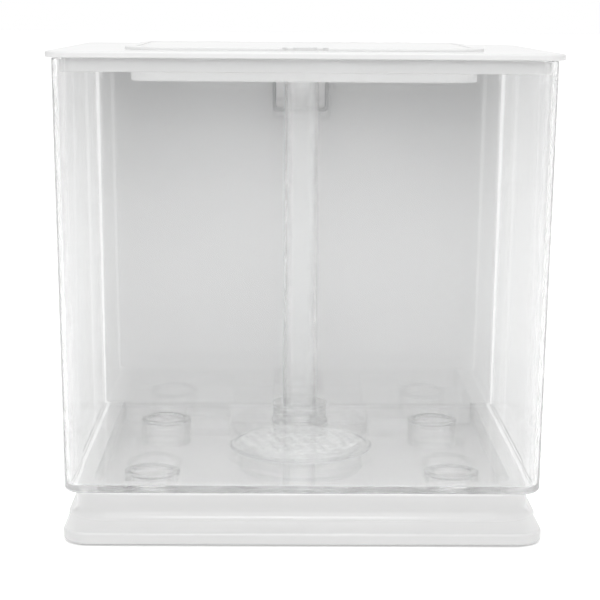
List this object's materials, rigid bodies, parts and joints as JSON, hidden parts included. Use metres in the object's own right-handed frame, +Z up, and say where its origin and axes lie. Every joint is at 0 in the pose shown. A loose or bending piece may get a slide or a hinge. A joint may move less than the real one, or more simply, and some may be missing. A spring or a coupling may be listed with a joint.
{
  "type": "self-cleaning desktop aquarium",
  "caption": "Clear tapered tank on a white stand, with a strainer over a sump, a lift tube to a rear notch, a waste reservoir behind, and a lid with a hinged hatch.",
  "frame": {"origin": "on the surface that the foot pads stand on, at the centre of the bounding box in plan", "axes": "+Z up, front of the tank towards -Y, waste reservoir towards +Y, +X to the right seen from the front"},
  "size_m": [0.195, 0.197, 0.1871],
  "materials": {
    "white_abs": "glossy injection-moulded white plastic",
    "white_reservoir": "semi-gloss white plastic, slightly greyer than the stand and the lid",
    "white_peg": "matte white plastic",
    "clear_styrene": "clear polished plastic with bright edges",
    "clear_fitting": "clear moulded plastic",
    "silicone": "grey silicone",
    "rubber": "dark rubber",
    "steel": "plain steel pin"
  },
  "bodies": {
    "stand": {"stand_tray": "white_abs", "foot_pad_front_left": "rubber", "foot_pad_front_right": "rubber", "foot_pad_back_left": "rubber", "foot_pad_back_right": "rubber", "locating_peg_front_left": "white_peg", "locating_peg_front_right": "white_peg", "locating_peg_back_left": "white_peg", "locating_peg_back_right": "white_peg"},
    "reservoir": {"reservoir_box": "white_reservoir"},
    "tank": {"tank_shell": "clear_styrene", "notch_liner": "silicone"},
    "strainer": {"strainer_rim": "clear_fitting", "strainer_plate": "clear_fitting", "tube_collar": "clear_fitting"},
    "tube": {"lift_tube": "clear_fitting", "tube_seal": "silicone", "tube_spout": "clear_fitting"},
    "lid": {"lid_frame": "white_abs", "feed_collar": "white_abs", "hinge_pin_left": "steel", "hinge_pin_right": "steel"},
    "hatch": {"feeding_hatch": "white_abs"}
  },
  "joints": [
    {"name": "reservoir_slide", "type": "slide", "parent": "stand", "child": "reservoir", "axis": [0, 1, 0], "range_m": [0, 0.06]},
    {"name": "tank_lift", "type": "slide", "parent": "stand", "child": "tank", "axis": [0, 0, 1], "range_m": [0, 0.05]},
    {"name": "strainer_lift", "type": "slide", "parent": "tank", "child": "strainer", "axis": [0, 0, 1], "range_m": [0, 0.004]},
    {"name": "tube_lift", "type": "slide", "parent": "strainer", "child": "tube", "axis": [0, 0, 1], "range_m": [0, 0.004]},
    {"name": "lid_lift", "type": "slide", "parent": "tank", "child": "lid", "axis": [0, 0, 1], "range_m": [0, 0.06]},
    {"name": "hatch_hinge", "type": "hinge", "parent": "lid", "child": "hatch", "pos_m": [0, 0.0421, 0.1856], "axis": [-1, 0, 0], "range_deg": [0, 100]}
  ]
}
